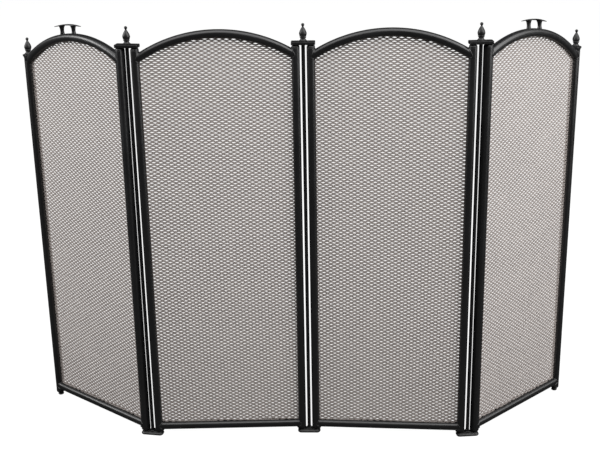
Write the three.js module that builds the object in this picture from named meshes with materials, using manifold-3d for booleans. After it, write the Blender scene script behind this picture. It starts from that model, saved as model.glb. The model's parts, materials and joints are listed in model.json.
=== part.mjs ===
// Four-fold fireplace screen: two wider centre panels and two narrower side panels, each a welded
// steel tube frame with an arched top and an expanded-metal mesh, joined by three hinge posts.
// Units are millimetres, +Z is up and the front of the screen faces -Y.
import * as THREE from 'three';
import Module from 'manifold-3d';
import { mergeVertices } from 'three/addons/utils/BufferGeometryUtils.js';

const wasm = await Module();
wasm.setup();

// ---- driving dimensions ----
const GAP = 0.3; // clearance kept between pieces that touch

// How far the screen is folded as it stands, in degrees from dead straight.
const CENTRE_FOLD = 2.8; // each centre panel swings forward of the centre post
const POST_TURN = { left: 10.9, right: 9.3 }; // side post turns back from its centre panel
const SIDE_FOLD = { left: 29.8, right: 38.5 }; // side panel turns back from its side post

// Panels, measured between the axes of their two stiles.
const CENTRE_SPAN = 255.6;
const SIDE_SPAN = 240.3;

// Oval tube that every stile, arch and rail is cut from.
const TUBE_WIDTH = 13.3;
const TUBE_DEPTH = 15.5;
const TUBE_CORNER = 5.5;
const TUBE_WALL = 1.2;

// Heights above the floor.
const STILE_BOTTOM = 11;
const HINGE_STILE_TOP = 688;
const OUTER_STILE_TOP = 649.3;
const CENTRE_RAIL_AXIS = 17.5;
const SIDE_RAIL_AXIS = 19.8;

// Arched top rails: one circular arc each, bent by hand, so no two crowns sit quite alike.
const CENTRE_ARCH = {
  left: { radius: 232.4, crownHeight: 712.5, crownFromHinge: 125.5 },
  right: { radius: 232.4, crownHeight: 712.2, crownFromHinge: 129 },
};
const SIDE_ARCH = {
  left: { radius: 211.4, crownHeight: 697.7, crownFromHinge: 101 },
  right: { radius: 211.4, crownHeight: 696.8, crownFromHinge: 94.5 },
};

// Hinge post: a tie rod between a cap and a foot, with a stile pivoting at each side of it.
const PIVOT_OFFSET = 12.2;
const ROD_RADIUS = 3;
const CAP = { length: 38.6, depth: 17, corner: 2.2, bottom: 692.9, top: 697.9, edge: 0.8 };
const PAD = { length: 40, depth: 17, corner: 6, height: 4.2, edge: 1.3 };
const NECK = { length: 34, depth: 13.6, corner: 4.4, top: 6.8 };
const BOSS = { length: 9, depth: 11, corner: 3, top: 8.4 };
const PIVOT_RADIUS = 2.75;
const TOP_PIVOT_END = 696.2;
const BOTTOM_PIVOT_END = 3.3;
const TOP_DOME_HEIGHT = 4.3;
const BOTTOM_DOME_HEIGHT = 3.3;
const SPIGOT_LENGTH = 10;

const MESH_THICKNESS = 0.5;

// Outer post top: a flared square cap.
const OUTER_CAP = { length: 14.6, depth: 17, corner: 3.2, thickness: 3.6, edge: 0.6 };
const OUTER_COLLAR = { height: 3.6, flare: 0.6 };
const STUD_HEIGHT = 4.6;

// Outer foot: a small domed glide under a flange as wide as the stile. Lathe profiles here and
// below are [radius, height] pairs.
const GLIDE_PROFILE = [
  [0, 0],
  [3.2, 0],
  [4.8, 1],
  [5.3, 2.4],
  [4.6, 5.2],
  [4.6, 7.4],
  [0, 7.4],
];
const FLANGE_BOTTOM = 6.4;
const FLANGE_EDGE = 1.4;

// Handle on the arch of each side panel: a crescent strip on two legs.
const HANDLE = {
  span: 69,
  legSpacing: 30,
  tipHeight: 11,
  tipThickness: 0.8,
  underRise: 2.2,
  overRise: 3.6,
  halfWidth: 5.5,
  tipHalfWidth: 1.2,
};
const HANDLE_LEG = [
  [0, -4],
  [3.8, -4],
  [3.6, 1],
  [3.3, 4],
  [3.5, 7.6],
  [4.6, 12.4],
  [4.2, 13.6],
  [0, 13.6],
];

// Where each handle is welded on, and the degrees that it dips outwards and leans back.
const HANDLE_PLACE = {
  left: { fromHinge: 126.6, dip: 5.4, backLean: 3 },
  right: { fromHinge: 118, dip: 7.1, backLean: 9 },
};

// Facets: sides on each round corner of a tube, outside and inside, on round pieces, along an arch.
const CORNER_SIDES = 3;
const BORE_CORNER_SIDES = 2;
const ROUND_SIDES = 14;
const ARCH_STEPS = 14;

// ---- finishes: black powder coat on everything, a little glossier on the castings ----
const FINISH = {
  tube: { color: 0x121213, roughness: 0.38, metalness: 0.3 },
  casting: { color: 0x151516, roughness: 0.44, metalness: 0.3 },
  rod: { color: 0x0e0e0f, roughness: 0.35, metalness: 0.4 },
  mesh: { color: 0x1b1a19, roughness: 0.5, metalness: 0.3 },
  handle: { color: 0x131314, roughness: 0.33, metalness: 0.35 },
  glide: { color: 0x0f0f10, roughness: 0.6, metalness: 0 },
};

// ---- helpers ----
function solid(geometry) {
  const bare = geometry.clone();
  bare.deleteAttribute('normal');
  bare.deleteAttribute('uv');
  const merged = mergeVertices(bare, 1e-4);
  return new wasm.Manifold(new wasm.Mesh({
    numProp: 3,
    vertProperties: new Float32Array(merged.attributes.position.array),
    triVerts: new Uint32Array(merged.index.array),
  }));
}

function geometryOf(manifold) {
  const mesh = manifold.getMesh();
  const geometry = new THREE.BufferGeometry();
  geometry.setAttribute('position', new THREE.BufferAttribute(new Float32Array(mesh.vertProperties), 3));
  geometry.setIndex(new THREE.BufferAttribute(new Uint32Array(mesh.triVerts), 1));
  geometry.computeVertexNormals();
  return geometry;
}

function piece(name, manifold, finish) {
  const mesh = new THREE.Mesh(geometryOf(manifold), new THREE.MeshStandardMaterial(FINISH[finish]));
  mesh.name = name;
  return mesh;
}

// A rectangle with round corners, centred on the origin; grow makes it larger all round.
function ovalPath(width, depth, corner, grow = 0, sides = CORNER_SIDES) {
  const halfWidth = width / 2 - corner;
  const halfDepth = depth / 2 - corner;
  const radius = corner + grow;
  const points = [];
  for (let quarter = 0; quarter < 4; quarter += 1) {
    const centreX = quarter === 0 || quarter === 3 ? halfWidth : -halfWidth;
    const centreY = quarter < 2 ? halfDepth : -halfDepth;
    for (let step = 0; step <= sides; step += 1) {
      const angle = (Math.PI / 2) * (quarter + step / sides);
      points.push(new THREE.Vector2(
        centreX + radius * Math.cos(angle),
        centreY + radius * Math.sin(angle),
      ));
    }
  }
  return points;
}

function ovalShape(width, depth, corner, grow = 0) {
  return new THREE.Shape(ovalPath(width, depth, corner, grow));
}

function tubeShape(grow = 0) {
  return ovalShape(TUBE_WIDTH, TUBE_DEPTH, TUBE_CORNER, grow);
}

function withBore(shape, width, depth) {
  const bore = ovalPath(width, depth, TUBE_CORNER, -TUBE_WALL, BORE_CORNER_SIDES);
  shape.holes.push(new THREE.Path(bore));
  return shape;
}

function hollowTubeShape() {
  return withBore(tubeShape(), TUBE_WIDTH, TUBE_DEPTH);
}

// Along an arch the section's first direction points to the back, so width and depth trade places.
function archTubeShape(grow = 0) {
  return ovalShape(TUBE_DEPTH, TUBE_WIDTH, TUBE_CORNER, grow);
}

// A straight prism of a shape between two heights.
function prism(shape, bottom, top) {
  const geometry = new THREE.ExtrudeGeometry(shape, { depth: top - bottom, bevelEnabled: false });
  return solid(geometry).translate([0, 0, bottom]);
}

// The same with rounded edges at both ends: the shape given is the widest outline.
function softPrism(size, bottom, top, edge) {
  const shape = ovalShape(size.length - 2 * edge, size.depth - 2 * edge, size.corner - edge);
  const geometry = new THREE.ExtrudeGeometry(shape, {
    depth: top - bottom - 2 * edge,
    bevelThickness: edge,
    bevelSize: edge,
    bevelSegments: 1,
  });
  return solid(geometry).translate([0, 0, bottom + edge]);
}

function upright(radius, bottom, top, x = 0) {
  const geometry = new THREE.CylinderGeometry(radius, radius, top - bottom, ROUND_SIDES);
  geometry.rotateX(Math.PI / 2);
  return solid(geometry).translate([x, 0, (top + bottom) / 2]);
}

function block(low, high) {
  const geometry = new THREE.BoxGeometry(high[0] - low[0], high[1] - low[1], high[2] - low[2]);
  return solid(geometry).translate(low.map((value, axis) => (value + high[axis]) / 2));
}

// Turns a lathe profile about +Z.
function turned(profile) {
  const points = profile.map(([radius, height]) => new THREE.Vector2(radius, height));
  const geometry = new THREE.LatheGeometry(points, ROUND_SIDES);
  geometry.rotateX(Math.PI / 2);
  return solid(geometry);
}

// ---- hinge post ----
function postCap() {
  let cap = softPrism(CAP, CAP.bottom, CAP.top, CAP.edge);
  cap = cap.subtract(upright(ROD_RADIUS + GAP, CAP.bottom - 1, CAP.top + 1));
  for (const x of [-PIVOT_OFFSET, PIVOT_OFFSET]) {
    cap = cap.subtract(upright(PIVOT_RADIUS + GAP, CAP.bottom - 1, TOP_PIVOT_END + GAP, x));
  }
  return cap;
}

function postFoot() {
  let foot = softPrism(PAD, 0, PAD.height, PAD.edge);
  foot = foot.add(prism(ovalShape(NECK.length, NECK.depth, NECK.corner), PAD.height / 2, NECK.top));
  foot = foot.add(prism(ovalShape(BOSS.length, BOSS.depth, BOSS.corner), NECK.top - 1, BOSS.top));
  foot = foot.subtract(upright(ROD_RADIUS + GAP, BOTTOM_PIVOT_END - GAP, BOSS.top + 1));
  for (const x of [-PIVOT_OFFSET, PIVOT_OFFSET]) {
    foot = foot.subtract(upright(PIVOT_RADIUS + GAP, BOTTOM_PIVOT_END - GAP, NECK.top + 1, x));
  }
  return foot;
}

// Turned finial: flared base with a blind bore, waist, vase, thin neck and a ball on top.
const FINIAL_BORE = 5.2;
const BALL = { radius: 2.6, centre: 25.8, start: -1.1, steps: 4 };

function finial(base) {
  const profile = [
    [0, FINIAL_BORE],
    [ROD_RADIUS + GAP, FINIAL_BORE],
    [ROD_RADIUS + GAP, 0],
    [6.4, 0],
    [6.4, 0.9],
    [5.1, 4],
    [3.9, 6.4],
    [5.4, 8.6],
    [6.1, 11.4],
    [5.3, 15.2],
    [3.3, 19.2],
    [1.5, 22.2],
  ];
  for (let step = 1; step < BALL.steps; step += 1) {
    const angle = BALL.start + (Math.PI / 2 - BALL.start) * (step / BALL.steps);
    profile.push([BALL.radius * Math.cos(angle), BALL.centre + BALL.radius * Math.sin(angle)]);
  }
  profile.push([0, BALL.centre + BALL.radius]);
  return turned(profile).translate([0, 0, base]);
}

function tieRod() {
  return upright(ROD_RADIUS, BOTTOM_PIVOT_END, CAP.top + STUD_HEIGHT);
}

function hingePost(name) {
  const group = new THREE.Group();
  group.add(
    piece(`${name}_cap`, postCap(), 'casting'),
    piece(`${name}_finial`, finial(CAP.top + GAP), 'casting'),
    piece(`${name}_tie_rod`, tieRod(), 'rod'),
    piece(`${name}_foot`, postFoot(), 'casting'),
  );
  return group;
}

// ---- pivot plugs: spigot inside the stile, dome over its end, pin into the cap or foot ----
const SPIGOT_GROW = -TUBE_WALL - GAP;

function dome(edge) {
  const shape = tubeShape(-edge);
  const geometry = new THREE.ExtrudeGeometry(shape, {
    depth: 1,
    bevelThickness: edge,
    bevelSize: edge,
    bevelSegments: 2,
  });
  const upperHalf = block([-TUBE_WIDTH, -TUBE_DEPTH, 1], [TUBE_WIDTH, TUBE_DEPTH, edge + 2]);
  return solid(geometry).intersect(upperHalf).translate([0, 0, -1]);
}

function topPivot() {
  const seat = HINGE_STILE_TOP + GAP;
  let plug = dome(TOP_DOME_HEIGHT).translate([0, 0, seat]);
  plug = plug.add(prism(tubeShape(SPIGOT_GROW), HINGE_STILE_TOP - SPIGOT_LENGTH, seat + 1));
  return plug.add(upright(PIVOT_RADIUS, seat + 1, TOP_PIVOT_END));
}

function bottomPivot() {
  const seat = STILE_BOTTOM - GAP;
  let plug = dome(BOTTOM_DOME_HEIGHT).rotate([180, 0, 0]).translate([0, 0, seat]);
  plug = plug.add(prism(tubeShape(SPIGOT_GROW), seat - 1, STILE_BOTTOM + SPIGOT_LENGTH));
  return plug.add(upright(PIVOT_RADIUS, BOTTOM_PIVOT_END, seat - 1));
}

// ---- panel frame ----
function stile(top) {
  return prism(hollowTubeShape(), STILE_BOTTOM, top);
}

// Takes away the room a stile needs, so that tubes end in a saddle against it.
function copeAgainstStile(tube, x) {
  return tube.subtract(prism(tubeShape(GAP), 0, CAP.top).translate([x, 0, 0]));
}

class ArchCurve extends THREE.Curve {
  constructor(centreX, centreZ, radius, startX, endX) {
    super();
    this.centre = new THREE.Vector3(centreX, 0, centreZ);
    this.radius = radius;
    this.start = Math.acos((startX - centreX) / radius);
    this.end = Math.acos((endX - centreX) / radius);
  }

  getPoint(t, target = new THREE.Vector3()) {
    const angle = this.start + (this.end - this.start) * t;
    return target.set(Math.cos(angle), 0, Math.sin(angle)).multiplyScalar(this.radius).add(this.centre);
  }
}

// The arch spans from x = 0 at the hinge stile to x = span; direction is 1 to the right.
function archTube(shape, arch, span, direction) {
  const curve = new ArchCurve(
    direction * arch.crownFromHinge,
    arch.crownHeight - arch.radius,
    arch.radius,
    direction > 0 ? 0 : -span,
    direction > 0 ? span : 0,
  );
  return solid(new THREE.ExtrudeGeometry(shape, { steps: ARCH_STEPS, extrudePath: curve }));
}

function archRail(arch, span, direction) {
  const section = withBore(archTubeShape(), TUBE_DEPTH, TUBE_WIDTH);
  let tube = archTube(section, arch, span, direction);
  tube = copeAgainstStile(tube, 0);
  return copeAgainstStile(tube, direction * span);
}

function bottomRail(axisHeight, span, direction) {
  let tube = prism(hollowTubeShape(), 0, span).rotate([0, 90, 0]).translate([0, 0, axisHeight]);
  tube = copeAgainstStile(tube, 0);
  tube = copeAgainstStile(tube, span);
  return direction > 0 ? tube : tube.translate([-span, 0, 0]);
}

// Expanded-metal infill, as one thin sheet that stops just short of the tubes around it.
function meshSheet(arch, railHeight, span, direction) {
  const inset = TUBE_WIDTH / 2 + GAP;
  const radius = arch.radius - inset;
  const centreX = direction * arch.crownFromHinge;
  const centreZ = arch.crownHeight - arch.radius;
  const leftX = direction > 0 ? inset : inset - span;
  const rightX = leftX + span - 2 * inset;
  const shape = new THREE.Shape();
  shape.moveTo(leftX, railHeight + inset);
  shape.lineTo(rightX, railHeight + inset);
  const rightAngle = Math.acos((rightX - centreX) / radius);
  const leftAngle = Math.acos((leftX - centreX) / radius);
  shape.absarc(centreX, centreZ, radius, rightAngle, leftAngle, false);
  const geometry = new THREE.ExtrudeGeometry(shape, {
    depth: MESH_THICKNESS,
    bevelEnabled: false,
    curveSegments: ARCH_STEPS,
  });
  return solid(geometry).rotate([90, 0, 0]).translate([0, MESH_THICKNESS / 2, 0]);
}

function panelFrame(name, arch, railHeight, span, direction, farStileTop) {
  const group = new THREE.Group();
  const farStile = piece(`${name}_outer_stile`, stile(farStileTop), 'tube');
  farStile.position.x = direction * span;
  group.add(
    piece(`${name}_inner_stile`, stile(HINGE_STILE_TOP), 'tube'),
    farStile,
    piece(`${name}_arch_rail`, archRail(arch, span, direction), 'tube'),
    piece(`${name}_bottom_rail`, bottomRail(railHeight, span, direction), 'tube'),
    piece(`${name}_mesh`, meshSheet(arch, railHeight, span, direction), 'mesh'),
  );
  return group;
}

function addPivots(panel, name, x) {
  const top = piece(`${name}_top_pivot`, topPivot(), 'casting');
  const bottom = piece(`${name}_bottom_pivot`, bottomPivot(), 'casting');
  top.position.x = x;
  bottom.position.x = x;
  panel.add(top, bottom);
}

function centrePanel(side, direction) {
  const name = `centre_${side}_panel`;
  const arch = CENTRE_ARCH[side];
  const panel = panelFrame(name, arch, CENTRE_RAIL_AXIS, CENTRE_SPAN, direction, HINGE_STILE_TOP);
  addPivots(panel, `${name}_inner`, 0);
  addPivots(panel, `${name}_outer`, direction * CENTRE_SPAN);
  return panel;
}

// ---- fittings of the side panels ----
function outerCap(side, direction) {
  const seat = OUTER_STILE_TOP + GAP;
  const plateBottom = seat + OUTER_COLLAR.height;
  const plateTop = plateBottom + OUTER_CAP.thickness;
  let cap = softPrism(OUTER_CAP, plateBottom, plateTop, OUTER_CAP.edge);
  cap = cap.add(prism(tubeShape(), seat, plateBottom + 1));
  cap = cap.add(prism(tubeShape(OUTER_COLLAR.flare), seat + OUTER_COLLAR.height / 2, plateBottom + 1));
  cap = cap.add(prism(tubeShape(SPIGOT_GROW), seat - SPIGOT_LENGTH, seat + 1));
  cap = cap.add(upright(ROD_RADIUS, plateTop - 1, plateTop + STUD_HEIGHT));
  const archRoom = archTube(archTubeShape(GAP), SIDE_ARCH[side], SIDE_SPAN, direction);
  const stileCore = prism(tubeShape(), seat - SPIGOT_LENGTH, plateBottom);
  return cap.subtract(archRoom.translate([-direction * SIDE_SPAN, 0, 0]).subtract(stileCore));
}

function outerFoot() {
  const seat = STILE_BOTTOM - GAP;
  const flangeSize = { length: TUBE_WIDTH, depth: TUBE_DEPTH, corner: TUBE_CORNER };
  const flange = softPrism(flangeSize, FLANGE_BOTTOM, seat, FLANGE_EDGE);
  const spigot = prism(tubeShape(SPIGOT_GROW), seat - FLANGE_EDGE, STILE_BOTTOM + SPIGOT_LENGTH);
  return turned(GLIDE_PROFILE).add(flange).add(spigot);
}

// Handle casting: two flared legs under a crescent strip that narrows to its tips.
// Built with its base at the origin, running along X, then set on the arch.
function handleCasting() {
  const half = HANDLE.span / 2;
  const overTip = HANDLE.tipHeight + HANDLE.tipThickness;
  const side = new THREE.Shape();
  side.moveTo(-half, HANDLE.tipHeight);
  side.quadraticCurveTo(0, HANDLE.tipHeight + 2 * HANDLE.underRise, half, HANDLE.tipHeight);
  side.lineTo(half, overTip);
  side.quadraticCurveTo(0, overTip + 2 * HANDLE.overRise, -half, overTip);
  const width = 2 * HANDLE.halfWidth;
  const strip = solid(new THREE.ExtrudeGeometry(side, {
    depth: width,
    bevelEnabled: false,
    curveSegments: 12,
  })).rotate([90, 0, 0]).translate([0, width / 2, 0]);

  const bulge = 2 * HANDLE.halfWidth - HANDLE.tipHalfWidth;
  const plan = new THREE.Shape();
  plan.moveTo(-half, -HANDLE.tipHalfWidth);
  plan.quadraticCurveTo(0, -bulge, half, -HANDLE.tipHalfWidth);
  plan.lineTo(half, HANDLE.tipHalfWidth);
  plan.quadraticCurveTo(0, bulge, -half, HANDLE.tipHalfWidth);
  const leaf = solid(new THREE.ExtrudeGeometry(plan, {
    depth: overTip + 2 * HANDLE.overRise,
    bevelEnabled: false,
    curveSegments: 12,
  }));

  let casting = strip.intersect(leaf);
  const leg = turned(HANDLE_LEG);
  for (const x of [-HANDLE.legSpacing / 2, HANDLE.legSpacing / 2]) {
    casting = casting.add(leg.translate([x, 0, 0]));
  }
  return casting;
}

function panelHandle(side, direction) {
  const arch = SIDE_ARCH[side];
  const { fromHinge, dip, backLean } = HANDLE_PLACE[side];
  const reach = arch.radius + TUBE_WIDTH / 2;
  const rise = Math.sqrt(reach ** 2 - (fromHinge - arch.crownFromHinge) ** 2);
  const placed = handleCasting()
    .rotate([-backLean, 0, 0])
    .rotate([0, direction * dip, 0])
    .translate([direction * fromHinge, 0, arch.crownHeight - arch.radius + rise]);
  return placed.subtract(archTube(archTubeShape(GAP), arch, SIDE_SPAN, direction));
}

function sidePanel(side, direction) {
  const name = `${side}_panel`;
  const arch = SIDE_ARCH[side];
  const panel = panelFrame(name, arch, SIDE_RAIL_AXIS, SIDE_SPAN, direction, OUTER_STILE_TOP);
  addPivots(panel, `${name}_inner`, 0);
  const capTop = OUTER_STILE_TOP + GAP + OUTER_COLLAR.height + OUTER_CAP.thickness;
  const ends = [
    piece(`${name}_outer_cap`, outerCap(side, direction), 'casting'),
    piece(`${name}_outer_finial`, finial(capTop + GAP), 'casting'),
    piece(`${name}_outer_foot`, outerFoot(), 'glide'),
  ];
  for (const end of ends) {
    end.position.x = direction * SIDE_SPAN;
    panel.add(end);
  }
  panel.add(piece(`${name}_handle`, panelHandle(side, direction), 'handle'));
  return panel;
}

// ---- assembly: each arm is a chain of pivots that starts at the centre post ----
function pivotAt(x, degrees, child) {
  const pivot = new THREE.Group();
  pivot.position.x = x;
  pivot.rotation.z = THREE.MathUtils.degToRad(degrees);
  pivot.add(child);
  return pivot;
}

function arm(side, direction) {
  const panel = centrePanel(side, direction);
  const post = hingePost(`${side}_post`);
  const wing = sidePanel(side, direction);
  post.add(pivotAt(direction * PIVOT_OFFSET, direction * SIDE_FOLD[side], wing));
  const postAtRod = new THREE.Group();
  postAtRod.position.x = direction * PIVOT_OFFSET;
  postAtRod.add(post);
  panel.add(pivotAt(direction * CENTRE_SPAN, direction * POST_TURN[side], postAtRod));
  return pivotAt(direction * PIVOT_OFFSET, -direction * CENTRE_FOLD, panel);
}

const screen = hingePost('centre_post');
screen.add(arm('left', -1), arm('right', 1));

// The origin is on the floor, in the middle of the standing screen's box.
const middle = new THREE.Box3().setFromObject(screen, true).getCenter(new THREE.Vector3());
screen.position.set(-middle.x, -middle.y, 0);

export default screen;
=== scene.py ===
# %% [markdown]
# # A folding fireplace screen
#
# Four arched panels of black powder-coated tube stand on three hinge posts and two end feet. The
# working frame, with its joints, comes ready made. This lesson puts the looks around it: drawn
# tubes, welds, expanded metal, turned finials and castings, then a paint finish and studio light.

# %% Load the frame
import json
import math
import bpy
import numpy as np
from mathutils import Matrix, Vector

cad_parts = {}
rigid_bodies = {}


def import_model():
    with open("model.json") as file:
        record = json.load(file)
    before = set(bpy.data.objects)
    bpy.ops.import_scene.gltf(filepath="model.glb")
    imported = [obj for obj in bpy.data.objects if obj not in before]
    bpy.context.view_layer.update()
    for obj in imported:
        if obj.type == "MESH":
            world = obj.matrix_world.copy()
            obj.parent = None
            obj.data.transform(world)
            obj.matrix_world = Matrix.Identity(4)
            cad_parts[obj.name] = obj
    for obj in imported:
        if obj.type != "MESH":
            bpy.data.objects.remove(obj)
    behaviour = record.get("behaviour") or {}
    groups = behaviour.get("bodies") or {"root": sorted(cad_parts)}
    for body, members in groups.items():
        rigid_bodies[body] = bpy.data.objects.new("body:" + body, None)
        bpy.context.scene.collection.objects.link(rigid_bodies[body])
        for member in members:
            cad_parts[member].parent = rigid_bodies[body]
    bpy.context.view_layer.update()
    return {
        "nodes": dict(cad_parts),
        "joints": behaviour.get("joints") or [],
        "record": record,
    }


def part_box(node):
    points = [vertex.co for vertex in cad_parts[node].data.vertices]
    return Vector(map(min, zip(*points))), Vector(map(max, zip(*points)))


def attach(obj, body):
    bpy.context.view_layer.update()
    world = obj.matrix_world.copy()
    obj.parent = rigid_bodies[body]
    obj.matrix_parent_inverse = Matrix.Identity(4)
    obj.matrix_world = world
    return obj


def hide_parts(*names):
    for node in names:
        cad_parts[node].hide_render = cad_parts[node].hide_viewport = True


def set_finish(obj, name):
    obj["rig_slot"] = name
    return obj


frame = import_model()

# %% [markdown]
# The camera stands a little to the right of the middle, about a metre up, and looks down at
# the screen. It is made first, so that every later step can be looked at. A matrix with the
# camera's right, up and backward directions as columns is easier to read than three angles.

# %% Camera
CAMERA_PLACE = Vector((0.0778, -1.8525, 1.0053))
CAMERA_LENS = 67.44
CAMERA_YAW, CAMERA_PITCH, CAMERA_ROLL = (math.radians(a) for a in (-2.515, 19.134, -1.045))


def make_camera():
    camera = bpy.data.objects.new("camera", bpy.data.cameras.new("camera"))
    bpy.context.scene.collection.objects.link(camera)
    camera.data.lens = CAMERA_LENS
    level = math.cos(CAMERA_PITCH)
    look = Vector((math.sin(CAMERA_YAW) * level, math.cos(CAMERA_YAW) * level, -math.sin(CAMERA_PITCH)))
    flat_right = Vector((math.cos(CAMERA_YAW), -math.sin(CAMERA_YAW), 0))
    flat_up = flat_right.cross(look)
    right = flat_right * math.cos(CAMERA_ROLL) + flat_up * math.sin(CAMERA_ROLL)
    up = flat_up * math.cos(CAMERA_ROLL) - flat_right * math.sin(CAMERA_ROLL)
    turn = Matrix((right, up, -look)).transposed().to_4x4()
    camera.matrix_world = Matrix.Translation(CAMERA_PLACE) @ turn
    bpy.context.scene.camera = camera
    return camera


print("camera lens:", make_camera().data.lens, "mm")

# %% [markdown]
# Shop drawings of a screen like this are in millimetres, and so are the sizes here. Everything
# that could be read off a caliper has a name: the oval tube, the arches, the heights.

# %% Sizes, in millimetres
MM = 0.001
TUBE_WIDTH, TUBE_DEPTH, TUBE_CORNER = 13.3, 15.5, 5.5
STILE_BOTTOM, HINGE_STILE_TOP, OUTER_STILE_TOP = 11.0, 688.0, 649.3
ARCHES = {
    "centre_left_panel": {"radius": 232.4, "crown": 712.5, "from_hinge": 125.5},
    "centre_right_panel": {"radius": 232.4, "crown": 712.2, "from_hinge": 129.0},
    "left_panel": {"radius": 211.4, "crown": 697.7, "from_hinge": 101.0},
    "right_panel": {"radius": 211.4, "crown": 696.8, "from_hinge": 94.5},
}
for name, arch in ARCHES.items():
    arch["rail"] = 17.5 if name.startswith("centre") else 19.8
PIVOT_OFFSET, PIVOT_RADIUS, ROD_RADIUS = 12.2, 2.75, 3.0
CAP_BOTTOM, CAP_TOP = 692.9, 697.9
STUD_HEIGHT = 4.6
print("tube:", TUBE_WIDTH, "x", TUBE_DEPTH, "mm")

# %% [markdown]
# Each panel and post has a place of its own: a point on the floor, a direction along it and a
# direction to its back. They are read from the hinges of the frame, so nothing is fitted by eye.
# Left-hand panels run to the left, which mirrors their geometry, so faces are turned there.

# %% Where panels and posts stand
HINGES = {joint["name"]: Vector(joint["pos_m"]) for joint in frame["joints"]}
BODY_OF = {
    node: body
    for body, nodes in frame["record"]["behaviour"]["bodies"].items()
    for node in nodes
}


class Station:
    """A place on the floor: its x runs along a panel or post, y to the back and z up."""

    def __init__(self, start, end):
        along = Vector((end.x - start.x, end.y - start.y, 0))
        self.span = along.length / MM
        self.along = along.normalized()
        self.back = Vector((-self.along.y, self.along.x, 0))
        self.mirrored = self.back.y < 0
        if self.mirrored:
            self.back = -self.back
        self.origin = Vector((start.x, start.y, 0))

    def moved(self, distance):
        """The same station, further along by a distance in millimetres."""
        start = self.origin + self.along * (distance * MM)
        return Station(start, start + self.along)

    def place(self, points):
        """Millimetres at the station to metres in the frame."""
        axes = np.array([self.along, self.back, (0, 0, 1)])
        return np.array(self.origin) + np.asarray(points) @ axes * MM


def middle_of(node):
    low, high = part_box(node)
    return (low + high) / 2


PANELS, POSTS = {}, {"centre_post": Station(HINGES["centre_left_fold"], HINGES["centre_right_fold"])}
for side in ("left", "right"):
    inner = HINGES[f"centre_{side}_fold"]
    outer = HINGES[f"{side}_post_turn"]
    wing = HINGES[f"{side}_panel_fold"]
    PANELS[f"centre_{side}_panel"] = Station(inner, outer)
    POSTS[f"{side}_post"] = Station(outer, wing)
    PANELS[f"{side}_panel"] = Station(wing, middle_of(f"{side}_panel_outer_foot"))
POSTS = {name: station.moved(PIVOT_OFFSET) for name, station in POSTS.items()}
for name, station in PANELS.items():
    print(name, "is", round(station.span, 1), "mm between stiles")

# %% [markdown]
# Almost every part here is a skin stretched over a row of rings: a tube, a cap with rounded
# edges, a turned finial. One small function joins the rings with quads and closes both ends.
# Bodies made this way stay closed, which matters for printing and for clean edges.

# %% Rings, bodies and pieces
def body_through(rings):
    """Vertices and faces of a closed body through rings that have the same number of points."""
    rings = np.asarray(rings, float)
    count, around = rings.shape[:2]
    here = np.arange(count * around).reshape(count, around)
    beside = np.roll(here, -1, axis=1)
    sides = np.stack([here[:-1], beside[:-1], beside[1:], here[1:]], axis=-1).reshape(-1, 4)
    faces = sides.tolist() + [here[0][::-1].tolist(), here[-1].tolist()]
    return rings.reshape(-1, 3), faces


def joined(bodies):
    """Several bodies as one list of vertices and one of faces."""
    vertices, faces, count = [], [], 0
    for points, polygons in bodies:
        vertices.append(points)
        faces += [[index + count for index in polygon] for polygon in polygons]
        count += len(points)
    return np.concatenate(vertices), faces


def mesh_from(name, points, faces, sharp_degrees):
    mesh = bpy.data.meshes.new(name)
    mesh.from_pydata(points.tolist(), [], faces)
    mesh.validate()
    mesh.shade_smooth()
    mesh.set_sharp_from_angle(angle=math.radians(sharp_degrees))
    return mesh


def show(node, suffix, body, station, slot, sharp_degrees=38):
    """Puts a body at its station, on the same moving body as the node that it stands for."""
    points, faces = body
    if station.mirrored:
        faces = [polygon[::-1] for polygon in faces]
    name = f"{node}_{suffix}"
    piece = bpy.data.objects.new(name, mesh_from(name, station.place(points), faces, sharp_degrees))
    bpy.context.scene.collection.objects.link(piece)
    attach(piece, BODY_OF[node])
    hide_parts(node)
    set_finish(piece, slot)


print("helpers ready: rings to bodies, bodies to pieces")

# %% [markdown]
# Three families of section cover nearly all of the parts: the oval of the drawn tube, which also
# serves for caps and feet at other sizes, round turnings, and plates with their edges eased.

# %% Ovals, turnings and rods
CORNER_STEPS = 8
TURNING_STEPS = 40
EDGE_STEPS = 4
TIP_RADIUS = 0.02


def oval(width, depth, corner, grow=0.0):
    """A rectangle with round corners, anticlockwise; grow makes it larger all round."""
    half = np.array([width / 2 - corner, depth / 2 - corner])
    ring = []
    for quarter, signs in enumerate(((1, 1), (-1, 1), (-1, -1), (1, -1))):
        angles = math.pi / 2 * (quarter + np.linspace(0, 1, CORNER_STEPS + 1))
        ring.append(half * signs + (corner + grow) * np.stack([np.cos(angles), np.sin(angles)], 1))
    return np.concatenate(ring)


def at_height(ring, height, x=0.0):
    return np.column_stack([ring[:, 0] + x, ring[:, 1], np.full(len(ring), height)])


def stacked(size, levels):
    """An upright body of one oval, grown or shrunk at each level: (grow, height) pairs."""
    return body_through([at_height(oval(*size, grow), height) for grow, height in levels])


def turned(profile, x=0.0, steps=TURNING_STEPS):
    """A body turned on a lathe, from (radius, height) pairs, bottom first."""
    angles = np.linspace(0, 2 * math.pi, steps, endpoint=False)
    circle = np.stack([np.cos(angles), np.sin(angles)], 1)
    return body_through([
        at_height(circle * max(radius, TIP_RADIUS), height, x) for radius, height in profile
    ])


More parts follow.
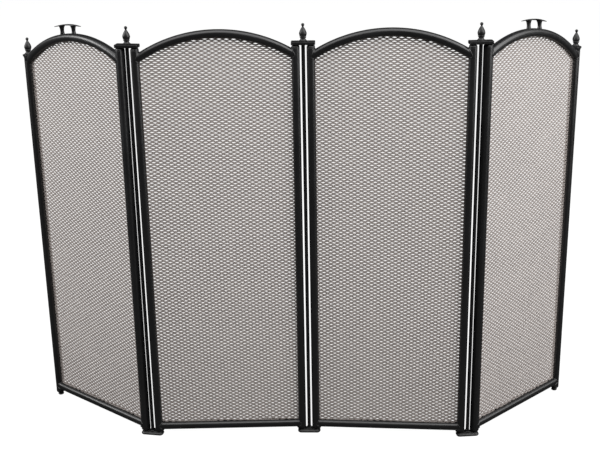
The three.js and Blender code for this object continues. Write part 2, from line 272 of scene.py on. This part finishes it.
def smooth_profile(points, between=4):
    """A Catmull-Rom curve through the points of a profile, for soft turned shapes."""
    points = np.asarray(points, float)
    padded = np.concatenate([points[:1] * 2 - points[1:2], points, points[-1:] * 2 - points[-2:-1]])
    curve = []
    for a, b, c, d in zip(padded, padded[1:], padded[2:], padded[3:]):
        for t in np.arange(between) / between:
            bend = 2 * a - 5 * b + 4 * c - d
            twist = 3 * b - a - 3 * c + d
            curve.append((2 * b + (c - a) * t + bend * t * t + twist * t ** 3) / 2)
    return np.array(curve + [points[-1]])


def rounded(height_low, height_high, edge):
    """Levels of a plate between two heights with both edges rounded over."""
    angles = np.linspace(0, math.pi / 2, EDGE_STEPS + 1)
    lower = [(edge * (math.sin(a) - 1), height_low + edge * (1 - math.cos(a))) for a in angles]
    upper = [(edge * (math.cos(a) - 1), height_high + edge * (math.sin(a) - 1)) for a in angles]
    return lower + upper


TUBE = (TUBE_WIDTH, TUBE_DEPTH, TUBE_CORNER)
print("an oval has", len(oval(*TUBE)), "points")

# %% [markdown]
# ## Stiles and their domed ends
#
# A stile is a straight length of oval tube. On the hinged ones a pressed plug closes each end
# with a dome, and a pin on the dome turns in the cap above or the foot below. The dome is a
# quarter ellipse in section, so that light rolls over it instead of stopping at an edge.

# %% Stiles and pivot plugs
SEAM = 0.3
TOP_DOME, BOTTOM_DOME = 4.3, 3.3
TOP_PIN_END, BOTTOM_PIN_END = 696.2, 3.3
PLUG_DEPTH, PLUG_INSET = 4.0, 1.5
STILE_EDGE = 0.5
PIN_BURIED, PIN_CHAMFER = 0.8, 0.4


def stile(top):
    return stacked(TUBE, rounded(STILE_BOTTOM, top, STILE_EDGE))


def pivot_plug(seat, dome_height, pin_end):
    """The plug in a stile's end: it starts inside the tube and ends in the pin's tip."""
    way = 1 if pin_end > seat else -1
    angles = np.linspace(0, math.pi / 2, 9)
    levels = [(-PLUG_INSET, seat - way * PLUG_DEPTH), (-PLUG_INSET, seat - way * STILE_EDGE), (-SEAM, seat)]
    levels += [(dome_height * (math.cos(a) - 1), seat + way * dome_height * math.sin(a)) for a in angles]
    dome = [at_height(oval(*TUBE, grow), height) for grow, height in levels]
    pin = [(PIVOT_RADIUS, seat + way * (dome_height - PIN_BURIED)),
           (PIVOT_RADIUS, pin_end - way * PIN_CHAMFER),
           (PIVOT_RADIUS - PIN_CHAMFER, pin_end)]
    if way < 0:
        dome, pin = dome[::-1], pin[::-1]
    return joined([body_through(dome), turned(pin, steps=24)])


def add_stiles(name, station):
    hinged_far = name.startswith("centre")
    far = station.moved(station.span)
    show(f"{name}_inner_stile", "tube", stile(HINGE_STILE_TOP), station, "frame_tube")
    far_top = HINGE_STILE_TOP if hinged_far else OUTER_STILE_TOP
    show(f"{name}_outer_stile", "tube", stile(far_top), far, "frame_tube")
    for end, place in (("inner", station), ("outer", far))[: 2 if hinged_far else 1]:
        top = pivot_plug(HINGE_STILE_TOP + SEAM, TOP_DOME, TOP_PIN_END)
        bottom = pivot_plug(STILE_BOTTOM - SEAM, BOTTOM_DOME, BOTTOM_PIN_END)
        show(f"{name}_{end}_top_pivot", "plug", top, place, "casting")
        show(f"{name}_{end}_bottom_pivot", "plug", bottom, place, "casting")


for name, station in PANELS.items():
    add_stiles(name, station)
print("stiles:", 2 * len(PANELS))

# %% [markdown]
# ## Arches, bottom rails and their welds
#
# The rails meet the stiles in a saddle. A saddle can be cut with a boolean, but here every line
# along the tube simply stops where it reaches the stile, which gives the same joint with clean
# quads. A thin weld bead follows the same edge, with a small ripple from the welder's hand.

# %% Rails with saddle ends
ARCH_STEPS, RAIL_STEPS = 72, 8
BEAD_RADIUS, BEAD_RIPPLE, BEAD_SIDES = 1.1, 0.14, 8
UNDER_FILLET = 2.0


def stile_reach(depths):
    """How far a stile reaches sideways from its axis at each depth."""
    flat = TUBE_DEPTH / 2 - TUBE_CORNER
    over = np.clip(np.abs(depths) - flat, 0, TUBE_CORNER)
    return TUBE_WIDTH / 2 - TUBE_CORNER + np.sqrt(TUBE_CORNER ** 2 - over ** 2)


def arch_rings(arch, span):
    """Rings of the arched rail: the section's first direction is radial, its second is depth."""
    section = oval(*TUBE)
    radius = arch["radius"] + section[:, 0]
    reach = stile_reach(section[:, 1])
    first = np.arccos((reach - arch["from_hinge"]) / radius)
    last = np.arccos((span - reach - arch["from_hinge"]) / radius)
    share = np.linspace(0, 1, ARCH_STEPS + 1)[:, None]
    angle = first + (last - first) * share
    x = arch["from_hinge"] + radius * np.cos(angle)
    z = arch["crown"] - arch["radius"] + radius * np.sin(angle)
    return np.stack([x, np.broadcast_to(section[:, 1], x.shape), z], axis=-1)


def bottom_rings(height, span):
    section = oval(*TUBE)
    reach = stile_reach(section[:, 1])
    share = np.linspace(0, 1, RAIL_STEPS + 1)[:, None]
    x = reach + (span - 2 * reach) * share
    y = np.broadcast_to(section[:, 1], x.shape)
    z = np.broadcast_to(height + section[:, 0], x.shape)
    return np.stack([x, y, z], axis=-1)


def weld(edge, seed, below):
    """A bead round a closed edge, heavier on the underside where below is more than 0."""
    random = np.random.default_rng(seed)
    before, after = np.roll(edge, 1, axis=0), np.roll(edge, -1, axis=0)
    keep = np.linalg.norm(after - before, axis=1) > 1e-6
    edge, before, after = edge[keep], before[keep], after[keep]
    tangent = (after - before) / np.linalg.norm(after - before, axis=1)[:, None]
    side = np.cross(tangent, (0.0, 1.0, 0.0))
    side /= np.maximum(np.linalg.norm(side, axis=1), 1e-6)[:, None]
    lift = np.cross(side, tangent)
    ripple = random.normal(0, BEAD_RIPPLE, len(edge))
    ripple = (ripple + np.roll(ripple, 1) + np.roll(ripple, -1)) / 2
    height = edge[:, 2] - edge[:, 2].mean()
    radius = BEAD_RADIUS + ripple + below * np.clip(-height / (TUBE_WIDTH / 2), 0, 1) ** 2
    turn = np.linspace(0, 2 * math.pi, BEAD_SIDES, endpoint=False)
    ring = side[:, None] * np.cos(turn)[:, None] + lift[:, None] * np.sin(turn)[:, None]
    points = edge[:, None] + ring * radius[:, None, None]
    here = np.arange(len(edge) * BEAD_SIDES).reshape(len(edge), BEAD_SIDES)
    over = np.roll(here, -1, axis=0)
    faces = np.stack([here, over, np.roll(over, -1, axis=1), np.roll(here, -1, axis=1)], -1)
    return points.reshape(-1, 3), faces.reshape(-1, 4).tolist()


def without_repeats(ring):
    step = np.linalg.norm(ring - np.roll(ring, 1, axis=0), axis=1)
    return ring[step > 0.05]


def add_rails(name, station, seed):
    arch = ARCHES[name]
    for part, rings, below in (
        ("arch_rail", arch_rings(arch, station.span), 0.0),
        ("bottom_rail", bottom_rings(arch["rail"], station.span), UNDER_FILLET),
    ):
        beads = [weld(without_repeats(rings[end]), seed + end, below) for end in (0, -1)]
        body = joined([body_through(rings)] + beads)
        show(f"{name}_{part}", "tube_and_welds", body, station, "frame_tube")


for number, (name, station) in enumerate(PANELS.items()):
    add_rails(name, station, 10 * number + 5)
print("rails:", 2 * len(PANELS))

# %% [markdown]
# ## Expanded metal
#
# Expanded metal is one sheet, slit in staggered rows and pulled open. What is left are zigzag
# strands, each joined to the strand above and below at short flat bonds. A picture of diamonds
# would look right only from the front, so every strand is real here: a thin bar with a slight
# louvre slant, which is why the screen looks denser from above than from straight ahead.

# %% Strands of the expanded sheets
BOND_LENGTH = 1.1
STRAND_HEIGHT, STRAND_DEPTH, STRAND_SLANT = 2.04, 1.3, 0.15
SHEET_BITE = 1.3
SHEETS = {
    "centre_left_panel": {"length": 11.5, "height": 6.38, "drift": 0.33},
    "centre_right_panel": {"length": 11.5, "height": 6.38, "drift": -0.25},
    "left_panel": {"length": 10.65, "height": 6.8, "drift": -0.5},
    "right_panel": {"length": 10.7, "height": 6.8, "drift": -0.9},
}


def inside_opening(points, arch, span):
    """True for points inside the panel's opening, plus the little that is buried in the tubes."""
    edge = TUBE_WIDTH / 2 - SHEET_BITE
    x, z = points[..., 0], points[..., 1]
    level = arch["crown"] - arch["radius"]
    reach = arch["radius"] - edge
    under_arch = (z < level) | ((x - arch["from_hinge"]) ** 2 + (z - level) ** 2 < reach ** 2)
    return (x > edge) & (x < span - edge) & (z > arch["rail"] + edge) & under_arch


def strand_line(row, span, diamond):
    """The zigzag of one strand, as (x, z) points."""
    half_row, half_diamond = diamond["height"] / 2, diamond["length"] / 2
    bonds = np.arange(-1, int(span / half_diamond) + 2)
    high = (bonds + row) % 2 == 1
    swing = (half_row - STRAND_HEIGHT) / 2
    z = row * half_row + np.where(high, swing, -swing)
    x = bonds * half_diamond
    x = np.stack([x - BOND_LENGTH / 2, x + BOND_LENGTH / 2], 1).ravel()
    return np.stack([x, np.repeat(z, 2) + diamond["drift"] * x / diamond["length"]], 1)


def edge_between(inner, outer, arch, span):
    """Where a strand leaves the opening, found by halving."""
    for _ in range(12):
        middle = (inner + outer) / 2
        if inside_opening(middle, arch, span):
            inner = middle
        else:
            outer = middle
    return inner


def strand_runs(line, arch, span):
    """The stretches of a strand that lie in the opening."""
    held = inside_opening(line, arch, span)
    changes = np.flatnonzero(np.diff(held.astype(int))) + 1
    for run in np.split(np.arange(len(line)), changes):
        if held[run[0]]:
            points = [line[index] for index in run]
            if run[0] > 0:
                points.insert(0, edge_between(line[run[0]], line[run[0] - 1], arch, span))
            if run[-1] < len(line) - 1:
                points.append(edge_between(line[run[-1]], line[run[-1] + 1], arch, span))
            yield np.array(points)


SECTION = np.array([
    (STRAND_DEPTH / 2, -STRAND_HEIGHT / 2 + STRAND_SLANT),
    (STRAND_DEPTH / 2, STRAND_HEIGHT / 2 + STRAND_SLANT),
    (-STRAND_DEPTH / 2, STRAND_HEIGHT / 2 - STRAND_SLANT),
    (-STRAND_DEPTH / 2, -STRAND_HEIGHT / 2 - STRAND_SLANT),
])


def expanded_sheet(arch, span, diamond):
    row_height = diamond["height"] / 2
    spare = abs(diamond["drift"]) * span / diamond["length"]
    rows = range(-int(spare / row_height), int((arch["crown"] + spare) / row_height) + 2)
    strands = []
    for row in rows:
        for run in strand_runs(strand_line(row, span, diamond), arch, span):
            rings = np.empty((len(run), len(SECTION), 3))
            rings[:, :, 0] = run[:, :1]
            rings[:, :, 1] = SECTION[:, 0]
            rings[:, :, 2] = run[:, 1:] + SECTION[:, 1]
            strands.append(body_through(rings))
    return joined(strands), len(strands)


for name, station in PANELS.items():
    sheet, strand_count = expanded_sheet(ARCHES[name], station.span, SHEETS[name])
    show(f"{name}_mesh", "expanded_metal", sheet, station, "mesh", sharp_degrees=25)
    print(name, "mesh:", strand_count, "strands,", len(sheet[1]), "faces")

# %% [markdown]
# ## Hinge posts
#
# A post is a sandwich: a slim rod between a square-edged cap and a foot, pulled together by the
# finial on top. The finial is turned: a flared base, a waist, a bead, a vase and a ball on a thin
# neck. A smooth curve through a few radii gives the vase, and the ball is a true arc.

# %% Finials, caps, rods and feet
CAP, CAP_EDGE = (38.5, 16.9, 2.2), 0.7
PAD = (39.9, 16.9, 6.0)
BOSS = (9.0, 11.0, 3.0)
BALL_RADIUS, BALL_HEIGHT = 2.6, 25.8


def finial(base):
    foot = [(TIP_RADIUS, 0.0), (6.1, 0.0), (6.4, 0.3), (6.4, 0.8)]
    flare = smooth_profile([(6.2, 1.1), (5.0, 2.0), (4.2, 3.4), (3.9, 4.6)])
    collar = smooth_profile([(4.0, 4.8), (5.0, 5.2), (5.2, 5.7), (4.9, 6.2), (4.1, 6.5), (3.8, 6.8)])
    bead = smooth_profile([(3.9, 7.0), (5.1, 7.3), (5.6, 7.9), (5.5, 8.5), (5.1, 8.9)])
    vase = smooth_profile([(5.3, 9.1), (5.95, 10.4), (6.1, 11.9), (5.7, 14.1), (4.6, 17.0), (3.0, 20.0),
                           (1.8, 21.9), (1.45, 22.8), (1.55, 23.5)])
    angles = np.linspace(-1.0, math.pi / 2, 12)
    ball = np.stack([BALL_RADIUS * np.cos(angles), BALL_HEIGHT + BALL_RADIUS * np.sin(angles)], 1)
    profile = np.concatenate([foot, flare, collar, bead, vase, ball])
    profile[:, 1] += base
    return turned(profile)


def post_cap():
    return stacked(CAP, rounded(CAP_BOTTOM, CAP_TOP, CAP_EDGE))


def post_foot():
    levels = [(-2.2, 0.0), (-1.2, 0.3), (-0.4, 1.0), (0.0, 2.0), (-0.1, 2.9), (-0.7, 3.7), (-1.7, 4.3),
              (-2.5, 4.8), (-2.9, 5.5), (-2.9, 6.2), (-3.2, 6.6), (-3.7, 6.8)]
    boss_levels = [(0.0, 6.0), (0.0, 7.8), (-0.2, 8.2), (-0.7, 8.4)]
    return joined([stacked(PAD, levels), stacked(BOSS, boss_levels)])


def tie_rod():
    return turned([(ROD_RADIUS, BOTTOM_PIN_END), (ROD_RADIUS, CAP_TOP + STUD_HEIGHT)], steps=28)


for name, station in POSTS.items():
    show(f"{name}_cap", "casting", post_cap(), station, "casting")
    show(f"{name}_finial", "turning", finial(CAP_TOP + SEAM), station, "casting", sharp_degrees=60)
    show(f"{name}_tie_rod", "bar", tie_rod(), station, "tie_rod")
    show(f"{name}_foot", "casting", post_foot(), station, "casting", sharp_degrees=50)
print("hinge posts:", len(POSTS))

# %% [markdown]
# ## Ends of the side panels
#
# The free stile of each side panel has a small square cap with a finial, and a domed glide below.

# %% Outer caps, finials and glides
OUTER_CAP, OUTER_CAP_EDGE = (14.4, 16.8, 3.2), 0.6
COLLAR_HEIGHT, PLATE_HEIGHT = 3.6, 3.6
GLIDE_FLANGE = 6.4


def outer_cap():
    low = OUTER_STILE_TOP
    plate_low = low + SEAM + COLLAR_HEIGHT
    plate_high = plate_low + PLATE_HEIGHT
    collar_levels = [(-PLUG_INSET, low - PLUG_DEPTH), (-PLUG_INSET, low), (0.0, low + 0.1),
                     (0.05, low + 1.4), (0.4, low + 2.4), (0.6, plate_low + 0.5)]
    collar = stacked(TUBE, collar_levels)
    plate = stacked(OUTER_CAP, rounded(plate_low, plate_high, OUTER_CAP_EDGE))
    stud = turned([(ROD_RADIUS, plate_low + 1), (ROD_RADIUS, plate_high + STUD_HEIGHT)], steps=24)
    return joined([collar, plate, stud])


def glide():
    sides = smooth_profile([(3.0, 0.0), (4.4, 0.5), (5.2, 1.5), (5.3, 2.6), (4.9, 3.9), (4.6, 5.2),
                            (4.6, GLIDE_FLANGE + 1)])
    dome = [(TIP_RADIUS, 0.0)] + [(radius, max(height, 0.0)) for radius, height in sides]
    flange = [(-1.4, GLIDE_FLANGE), (-0.5, GLIDE_FLANGE + 0.4), (0.0, GLIDE_FLANGE + 1.4),
              (0.0, STILE_BOTTOM - SEAM - 0.2), (-0.2, STILE_BOTTOM - SEAM),
              (-PLUG_INSET, STILE_BOTTOM - SEAM), (-PLUG_INSET, STILE_BOTTOM + PLUG_DEPTH)]
    return joined([turned(dome), stacked(TUBE, flange)])


for name in ("left_panel", "right_panel"):
    end = PANELS[name].moved(PANELS[name].span)
    cap_top = OUTER_STILE_TOP + SEAM + COLLAR_HEIGHT + PLATE_HEIGHT
    show(f"{name}_outer_cap", "casting", outer_cap(), end, "casting")
    show(f"{name}_outer_finial", "turning", finial(cap_top + SEAM), end, "casting", sharp_degrees=60)
    show(f"{name}_outer_foot", "moulding", glide(), end, "glide", sharp_degrees=50)
print("end fittings: 2 caps, 2 finials, 2 glides")

# %% [markdown]
# ## Handles
#
# Each handle is one casting: a crescent strip, pointed at both tips, on two flared legs. Legs and
# strip are modelled roughly, then melted together with a voxel remesh and smoothed, the way that
# a foundry's fillets round every inner corner.

# %% Handle castings
HANDLE_SPAN, LEG_SPACING = 69.0, 30.0
TIP_HEIGHT, STRIP_RISE = 11.4, 2.9
TIP_THICKNESS, MID_THICKNESS = 1.0, 2.3
TIP_HALF_WIDTH, MID_HALF_WIDTH = 1.2, 5.5
STRIP_STEPS, STRIP_SIDES = 48, 24
BULGE, CROWN_SHAPE = 0.8, 1.3
HANDLE_VOXEL = 0.42
SMOOTHING_ROUNDS = 5


def handle_strip():
    rings = []
    turn = np.linspace(0, 2 * math.pi, STRIP_SIDES, endpoint=False)
    for share in np.linspace(-1, 1, STRIP_STEPS + 1):
        fullness = 1 - share * share
        half_width = TIP_HALF_WIDTH + (MID_HALF_WIDTH - TIP_HALF_WIDTH) * fullness
        thickness = TIP_THICKNESS + (MID_THICKNESS - TIP_THICKNESS) * fullness
        y = half_width * np.cos(turn)
        lens = np.sign(np.sin(turn)) * np.abs(np.sin(turn)) ** BULGE
        z = TIP_HEIGHT + STRIP_RISE * fullness ** CROWN_SHAPE + thickness / 2 * lens
        rings.append(np.stack([np.full(STRIP_SIDES, share * HANDLE_SPAN / 2), y, z], 1))
    return body_through(rings)


def handle_leg(x):
    profile = [(3.9, -3.2), (3.7, 0.5), (3.25, 3.0), (3.3, 6.2), (3.8, 9.4), (4.9, 12.2), (5.0, 13.2)]
    return turned(smooth_profile(profile), x)


def cast_handle():
    """The three rough bodies as one smooth casting, in millimetres."""
    points, faces = joined([handle_strip(), handle_leg(-LEG_SPACING / 2), handle_leg(LEG_SPACING / 2)])
    rough = bpy.data.objects.new("rough_handle", mesh_from("rough_handle", points, faces, 30))
    bpy.context.scene.collection.objects.link(rough)
    melt = rough.modifiers.new("melt", "REMESH")
    melt.mode = "VOXEL"
    melt.voxel_size = HANDLE_VOXEL
    soften = rough.modifiers.new("soften", "SMOOTH")
    soften.factor, soften.iterations = 0.5, SMOOTHING_ROUNDS
    view = bpy.context.evaluated_depsgraph_get()
    cast = rough.evaluated_get(view).to_mesh()
    vertices = np.array([vertex.co for vertex in cast.vertices])
    polygons = [list(polygon.vertices) for polygon in cast.polygons]
    bpy.data.objects.remove(rough)
    return vertices, polygons


HANDLE_PLACES = {
    "left_panel": {"from_hinge": 126.6, "dip": 5.4, "back_lean": 3.0},
    "right_panel": {"from_hinge": 118.0, "dip": 7.1, "back_lean": 9.0},
}


def on_arch(points, arch, place):
    """Moves the handle from the origin to its place on top of the arch."""
    back = Matrix.Rotation(-math.radians(place["back_lean"]), 3, "X")
    dip = Matrix.Rotation(math.radians(place["dip"]), 3, "Y")
    beyond_crown = place["from_hinge"] - arch["from_hinge"]
    rise = math.sqrt((arch["radius"] + TUBE_WIDTH / 2) ** 2 - beyond_crown ** 2)
    foot = (place["from_hinge"], 0.0, arch["crown"] - arch["radius"] + rise)
    return points @ np.array(dip @ back).T + foot


handle_points, handle_faces = cast_handle()
for name, place in HANDLE_PLACES.items():
    casting = (on_arch(handle_points, ARCHES[name], place), handle_faces)
    show(f"{name}_handle", "casting", casting, PANELS[name], "handle", sharp_degrees=180)
print("handle casting:", len(handle_faces), "faces")

# %% [markdown]
# ## Finishes
#
# Powder coat is sprayed on as dust and baked, so it never lies perfectly flat: it has a fine
# orange peel, slight changes in gloss, and a few paler specks. Every painted part shares that
# effect, so it is a node group with a few inputs, placed in each material with its own values.

# %% The powder coat group
def new_group(name, inputs, outputs):
    group = bpy.data.node_groups.new(name, "ShaderNodeTree")
    for label, value in inputs.items():
        kind = "NodeSocketColor" if isinstance(value, tuple) else "NodeSocketFloat"
        socket = group.interface.new_socket(label, in_out="INPUT", socket_type=kind)
        socket.default_value = (*value, 1.0) if isinstance(value, tuple) else value
    for label, kind in outputs.items():
        group.interface.new_socket(label, in_out="OUTPUT", socket_type=kind)
    return group, group.nodes.new("NodeGroupInput"), group.nodes.new("NodeGroupOutput")


def noise(nodes, links, vector, scale, detail):
    texture = nodes.new("ShaderNodeTexNoise")
    texture.inputs["Detail"].default_value = detail
    links.new(vector, texture.inputs["Vector"])
    if isinstance(scale, (int, float)):
        texture.inputs["Scale"].default_value = scale
    else:
        links.new(scale, texture.inputs["Scale"])
    return texture.outputs["Fac"]


def math_node(nodes, links, operation, first, second):
    node = nodes.new("ShaderNodeMath")
    node.operation = operation
    for socket, value in zip(node.inputs, (first, second)):
        if isinstance(value, (int, float)):
            socket.default_value = value
        else:
            links.new(value, socket)
    return node.outputs[0]


def stepped(nodes, links, value, low, high):
    """Zero below low, one above high, with a soft step between them."""
    node = nodes.new("ShaderNodeMapRange")
    node.interpolation_type = "SMOOTHSTEP"
    links.new(value, node.inputs["Value"])
    node.inputs["From Min"].default_value = low
    node.inputs["From Max"].default_value = high
    return node.outputs["Result"]


def blended(nodes, links, factor, first, second):
    node = nodes.new("ShaderNodeMix")
    node.data_type = "RGBA"
    links.new(factor, node.inputs["Factor"])
    links.new(first, node.inputs[6])
    links.new(second, node.inputs[7])
    return node.outputs[2]


def make_powder_coat():
    group, start, end = new_group(
        "powder coat",
        {"Paint": (0.02, 0.02, 0.02), "Dust": (0.1, 0.1, 0.1), "Peel Scale": 900.0, "Gloss": 0.35,
         "Gloss Change": 0.1, "Dustiness": 0.3},
        {"Colour": "NodeSocketColor", "Roughness": "NodeSocketFloat", "Height": "NodeSocketFloat"},
    )
    nodes, links = group.nodes, group.links
    place = nodes.new("ShaderNodeTexCoord").outputs["Object"]
    peel = noise(nodes, links, place, start.outputs["Peel Scale"], 2.0)
    cloud = noise(nodes, links, place, 14.0, 4.0)
    speck = noise(nodes, links, place, 2200.0, 1.0)
    specks = stepped(nodes, links, speck, 0.66, 0.76)
    haze = stepped(nodes, links, cloud, 0.35, 0.8)
    dust = math_node(nodes, links, "MAXIMUM", math_node(nodes, links, "MULTIPLY", haze, 0.5), specks)
    dust = math_node(nodes, links, "MULTIPLY", dust, start.outputs["Dustiness"])
    colour = blended(nodes, links, dust, start.outputs["Paint"], start.outputs["Dust"])
    links.new(colour, end.inputs["Colour"])
    change = math_node(nodes, links, "MULTIPLY", haze, start.outputs["Gloss Change"])
    links.new(math_node(nodes, links, "ADD", change, start.outputs["Gloss"]), end.inputs["Roughness"])
    links.new(peel, end.inputs["Height"])
    return group


powder_coat = make_powder_coat()
print("powder coat group:", len(powder_coat.nodes), "nodes")

# %% [markdown]
# The finishes differ only in their values. Castings are a little rougher than drawn tube, the
# rods are duller because less powder reaches them, and the mesh has a much paler, warm grey coat.
# Values that are the same all over a surface are typed straight into the shader.

# %% Materials, one for each slot
PEEL_DEPTH = 0.0004
FINISHES = {
    "frame_tube": {"paint": (0.005, 0.005, 0.0055), "dust": (0.015, 0.015, 0.016), "peel": 700.0,
                   "gloss": 0.35, "change": 0.08, "dusty": 0.25, "bump": 0.10, "specular": 0.9},
    "casting": {"paint": (0.009, 0.009, 0.0095), "dust": (0.055, 0.055, 0.055), "peel": 1100.0,
                "gloss": 0.34, "change": 0.14, "dusty": 0.40, "bump": 0.22, "specular": 0.5},
    "tie_rod": {"paint": (0.010, 0.010, 0.0105), "dust": (0.03, 0.03, 0.03), "peel": 800.0, "gloss": 0.36,
                "change": 0.08, "dusty": 0.25, "bump": 0.08, "specular": 0.4},
    "mesh": {"paint": (0.42, 0.373, 0.350), "dust": (0.52, 0.47, 0.435), "peel": 1500.0, "gloss": 0.48,
             "change": 0.12, "dusty": 0.45, "bump": 0.20, "specular": 0.35},
    "handle": {"paint": (0.0125, 0.0125, 0.013), "dust": (0.05, 0.05, 0.05), "peel": 900.0, "gloss": 0.27,
               "change": 0.12, "dusty": 0.30, "bump": 0.14, "specular": 0.5},
    "glide": {"paint": (0.012, 0.012, 0.012), "dust": (0.06, 0.06, 0.06), "peel": 1800.0, "gloss": 0.55,
              "change": 0.10, "dusty": 0.50, "bump": 0.25, "specular": 0.4},
}


def make_material(slot, finish):
    material = bpy.data.materials.new(slot)
    material.use_nodes = True
    nodes, links = material.node_tree.nodes, material.node_tree.links
    shader = nodes["Principled BSDF"]
    coat = nodes.new("ShaderNodeGroup")
    coat.node_tree = powder_coat
    coat.inputs["Paint"].default_value = (*finish["paint"], 1.0)
    coat.inputs["Dust"].default_value = (*finish["dust"], 1.0)
    coat.inputs["Peel Scale"].default_value = finish["peel"]
    coat.inputs["Gloss"].default_value = finish["gloss"]
    coat.inputs["Gloss Change"].default_value = finish["change"]
    coat.inputs["Dustiness"].default_value = finish["dusty"]
    bump = nodes.new("ShaderNodeBump")
    bump.inputs["Strength"].default_value = finish["bump"]
    bump.inputs["Distance"].default_value = PEEL_DEPTH
    shader.inputs["Specular IOR Level"].default_value = finish["specular"]
    links.new(coat.outputs["Colour"], shader.inputs["Base Color"])
    links.new(coat.outputs["Roughness"], shader.inputs["Roughness"])
    links.new(coat.outputs["Height"], bump.inputs["Height"])
    links.new(bump.outputs["Normal"], shader.inputs["Normal"])
    return material


MATERIALS = {slot: make_material(slot, finish) for slot, finish in FINISHES.items()}
SLOT_OF = {part["node"]: part["material_slot"] for part in frame["record"]["subparts"]}


def paint(thing, slot):
    thing.data.materials.clear()
    thing.data.materials.append(MATERIALS[slot])


for thing in bpy.data.objects:
    if "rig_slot" in thing:
        paint(thing, thing["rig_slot"])
for node, thing in frame["nodes"].items():
    paint(thing, SLOT_OF[node])
print("materials:", ", ".join(MATERIALS))

# %% [markdown]
# ## Studio
#
# A white room with one big soft light overhead, a tall window-like one on the left, which draws
# the long highlight on the left arch, and a broad one on the right. All three stand high, because
# an upright tube seen from above reflects only what is lower than itself, and so stays black.
# Black paint shows only what it reflects, so the floor and room are white to the camera but much
# darker in reflections.

# %% Floor, room and lights
FLOOR_SIZE, FLOOR_DROP = 40.0, 0.0002


def only_seen(nodes, links, seen, reflected):
    """A value that is one thing to the camera and another in reflections."""
    path = nodes.new("ShaderNodeLightPath")
    mix = nodes.new("ShaderNodeMix")
    mix.inputs["A"].default_value = reflected
    mix.inputs["B"].default_value = seen
    links.new(path.outputs["Is Camera Ray"], mix.inputs["Factor"])
    return mix.outputs["Result"]


def make_floor():
    half = FLOOR_SIZE / 2
    corners = [(-half, -half, 0), (half, -half, 0), (half, half, 0), (-half, half, 0)]
    mesh = bpy.data.meshes.new("floor")
    mesh.from_pydata(corners, [], [(0, 1, 2, 3)])
    floor = bpy.data.objects.new("floor", mesh)
    floor.location.z = -FLOOR_DROP
    bpy.context.scene.collection.objects.link(floor)
    material = bpy.data.materials.new("pale floor")
    material.use_nodes = True
    nodes, links = material.node_tree.nodes, material.node_tree.links
    shader = nodes["Principled BSDF"]
    shader.inputs["Roughness"].default_value = 0.9
    shader.inputs["Specular IOR Level"].default_value = 0.0
    grey = nodes.new("ShaderNodeCombineColor")
    for channel in grey.inputs:
        links.new(only_seen(nodes, links, 0.10, 0.07), channel)
    links.new(grey.outputs["Color"], shader.inputs["Base Color"])
    shader.inputs["Emission Color"].default_value = (1, 1, 1, 1)
    links.new(only_seen(nodes, links, 0.99, 0.0), shader.inputs["Emission Strength"])
    mesh.materials.append(material)


def make_room():
    world = bpy.data.worlds.new("white room")
    world.use_nodes = True
    nodes, links = world.node_tree.nodes, world.node_tree.links
    background = nodes["Background"]
    background.inputs["Color"].default_value = (1, 1, 1, 1)
    links.new(only_seen(nodes, links, 1.0, 0.05), background.inputs["Strength"])
    bpy.context.scene.world = world
    bpy.context.scene.view_settings.view_transform = "Standard"


def soft_light(name, place, target, size, power):
    data = bpy.data.lights.new(name, "AREA")
    data.shape = "RECTANGLE"
    data.size, data.size_y = size
    data.energy = power
    light = bpy.data.objects.new(name, data)
    light.location = place
    light.rotation_euler = (Vector(target) - Vector(place)).to_track_quat("-Z", "Y").to_euler()
    bpy.context.scene.collection.objects.link(light)


make_floor()
make_room()
AIM = (0.0, 0.0, 0.45)
soft_light("overhead", (0.1, -0.9, 2.7), AIM, (4.2, 2.8), 78.0)
soft_light("tall left", (-2.3, -0.25, 1.6), AIM, (0.7, 1.3), 31.0)
soft_light("high right", (2.3, -0.7, 1.8), AIM, (2.8, 2.6), 66.0)
